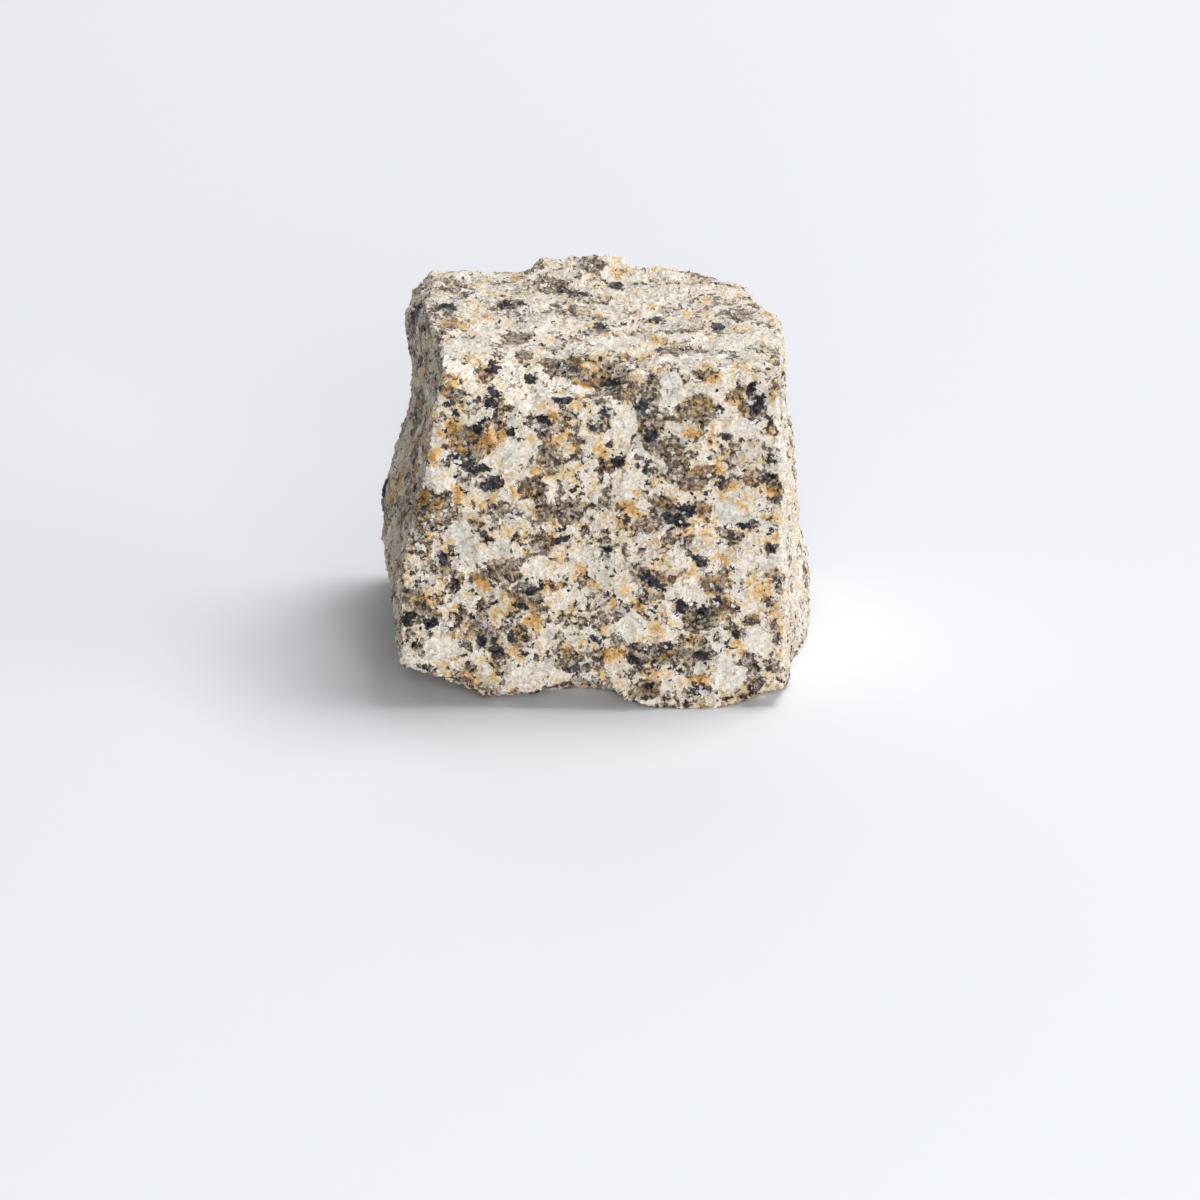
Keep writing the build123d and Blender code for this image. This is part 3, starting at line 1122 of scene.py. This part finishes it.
TOP_PATCHES = (
    # Black mica, from the back to the front
    Patch(Mineral.BIOTITE, Side.TOP, 3.7, 18.6, 2.6, 4.6),
    Patch(Mineral.BIOTITE, Side.TOP, -21.6, 16.6, 2.8, 3.6),
    Patch(Mineral.BIOTITE, Side.TOP, -5.2, 15.7, 3.2, 5.6),
    Patch(Mineral.BIOTITE, Side.TOP, -2.4, 12.2, 3.6, 2.6),
    Patch(Mineral.BIOTITE, Side.TOP, -15.5, 9.3, 2.4, 4.6),
    Patch(Mineral.BIOTITE, Side.TOP, -12.6, 8.4, 1.6, 3.2),
    Patch(Mineral.BIOTITE, Side.TOP, -25.0, 8.5, 3.6, 4.4),
    Patch(Mineral.BIOTITE, Side.TOP, 10.4, 0.2, 2.4, 3.0),
    Patch(Mineral.BIOTITE, Side.TOP, 0.8, -2.8, 2.4, 3.2),
    Patch(Mineral.BIOTITE, Side.TOP, 20.6, -4.9, 2.6, 3.0),
    Patch(Mineral.BIOTITE, Side.TOP, -10.9, -20.6, 1.8, 1.2),
    Patch(Mineral.BIOTITE, Side.TOP, -16.4, -24.4, 1.6, 4.4, 40),
    Patch(Mineral.BIOTITE, Side.TOP, 3.2, -22.6, 2.4, 2.4),
    # Smoky quartz
    Patch(Mineral.QUARTZ, Side.TOP, -10.4, 26.6, 3.6, 5.0),
    Patch(Mineral.QUARTZ, Side.TOP, -0.9, 24.5, 4.4, 4.0),
    Patch(Mineral.QUARTZ, Side.TOP, -13.8, 9.0, 4.0, 4.4),
    Patch(Mineral.QUARTZ, Side.TOP, -13.4, -7.6, 5.0, 7.0),
    Patch(Mineral.QUARTZ, Side.TOP, -11.8, -16.0, 3.2, 6.0),
    Patch(Mineral.QUARTZ, Side.TOP, 13.4, -15.4, 8.0, 5.0),
    Patch(Mineral.QUARTZ, Side.TOP, 24.0, 1.0, 5.0, 6.0),
    Patch(Mineral.QUARTZ, Side.TOP, -17.8, -20.5, 2.6, 2.6),
    # Back wall of the scoop: dark quartz, mica and stain, partly its own colour and partly painted shade,
    # as the wall faces away from the light
    Patch(Mineral.QUARTZ, Side.TOP, -3.4, -19.6, 11.0, 3.6, -14),
    Patch(Mineral.BIOTITE, Side.TOP, -4.6, -18.9, 3.6, 1.4, -14),
    Patch(Mineral.BIOTITE, Side.TOP, 1.4, -20.8, 2.8, 1.8, -20),
    Patch(Mineral.RUST, Side.TOP, -1.6, -19.8, 5.0, 4.0),
    # White and cream feldspar, which most of the top is; the first patch is painted sheen
    # Painted sheen: the whole top made paler, with fewer dark crystals and less stain, for the light that
    # grazes it
    Patch(Mineral.FELDSPAR, Side.TOP, 0.0, 0.0, 90.0, 80.0, 0, 0.32),
    Patch(Mineral.FELDSPAR, Side.TOP, 11.0, 10.0, 10.0, 8.0),
    Patch(Mineral.FELDSPAR, Side.TOP, 22.0, -13.0, 8.0, 7.0),
    Patch(Mineral.FELDSPAR, Side.TOP, -22.0, -12.0, 9.0, 9.0),
    Patch(Mineral.FELDSPAR, Side.TOP, 4.0, -12.0, 8.0, 6.0),
    Patch(Mineral.FELDSPAR, Side.TOP, -11.0, -23.4, 8.0, 2.6),
    Patch(Mineral.FELDSPAR, Side.TOP, -7.6, -25.2, 8.0, 2.2, -12),
    # Iron stain
    Patch(Mineral.RUST, Side.TOP, -13.3, 24.0, 3.6, 3.4),
    Patch(Mineral.RUST, Side.TOP, -24.5, 1.0, 3.0, 3.6),
    Patch(Mineral.RUST, Side.TOP, -2.6, -25.3, 3.6, 1.6),
    Patch(Mineral.RUST, Side.TOP, -23.0, -23.5, 4.6, 3.0),
    Patch(Mineral.RUST, Side.TOP, 18.5, -24.6, 3.6, 3.0),
    Patch(Mineral.RUST, Side.TOP, 24.0, -24.0, 3.4, 2.6),
    Patch(Mineral.RUST, Side.TOP, 16.0, 2.0, 3.0, 3.4),
)

SIDE_PATCHES = (
    # Dark crystals under the back left corner of the top
    Patch(Mineral.QUARTZ, Side.LEFT, 17.0, 53.0, 9.0, 7.0),
    Patch(Mineral.BIOTITE, Side.LEFT, 18.0, 53.6, 3.4, 6.0),
    Patch(Mineral.BIOTITE, Side.LEFT, 8.0, 47.0, 2.6, 4.4, 20),
    Patch(Mineral.QUARTZ, Side.LEFT, 4.0, 40.0, 7.0, 12.0, 20),
    Patch(Mineral.BIOTITE, Side.LEFT, -8.0, 36.0, 3.0, 3.6),
    Patch(Mineral.QUARTZ, Side.LEFT, -14.0, 30.0, 8.0, 9.0),
    Patch(Mineral.QUARTZ, Side.LEFT, 10.0, 20.0, 10.0, 9.0),
    Patch(Mineral.BIOTITE, Side.LEFT, 12.0, 24.0, 3.0, 4.0),
    Patch(Mineral.BIOTITE, Side.LEFT, -16.0, 14.0, 2.6, 4.0),
    Patch(Mineral.RUST, Side.LEFT, -20.0, 44.0, 5.0, 7.0),
    Patch(Mineral.RUST, Side.LEFT, 0.0, 28.0, 6.0, 8.0),
    # Right side painted paler for the strong light from the right; its front arris whiter still, partly
    # bruised and partly painted highlight
    Patch(Mineral.FELDSPAR, Side.RIGHT, 0.0, 30.0, 70.0, 64.0, 0, 0.35),
    Patch(Mineral.FELDSPAR, Side.RIGHT, -25.0, 45.0, 8.0, 14.0, 0, 1.3),
    Patch(Mineral.FELDSPAR, Side.RIGHT, -25.0, 29.0, 8.0, 16.0, 0, 1.3),
    Patch(Mineral.FELDSPAR, Side.RIGHT, -25.0, 13.0, 8.0, 14.0, 0, 1.3),
)


def main() -> None:
    """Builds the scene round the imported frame."""
    logging.basicConfig(level=logging.INFO, format="%(name)s: %(message)s")
    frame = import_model()

    fabric = CrystalFabric()
    patches = FRONT_PATCHES + TOP_PATCHES + SIDE_PATCHES
    stone = SplitStone(SplitRelief(fabric), GraniteFinish(fabric), patches).build(frame)
    log.info("%s: %d faces and %d set patches", stone.name, len(stone.data.polygons), len(patches))
    lights = (
        Softbox("key", place=(1.1, 0.6, 2.6), side=1.6, watts=58.0),
        Softbox("behind", place=(0.0, 1.4, 0.8), side=1.2, watts=5.5),
        Softbox("front", place=(0.2, -1.5, 0.45), side=0.9, watts=17.0),
        Softbox("right", place=(1.5, -0.5, 0.4), side=1.2, watts=11.0),
    )
    for piece in (*Studio(StudioFloor(), lights).build(), StudioCamera().build()):
        log.info("%s: %.2f m from the middle of the bed", piece.name, piece.location.length)


if __name__ == "__main__":
    main()
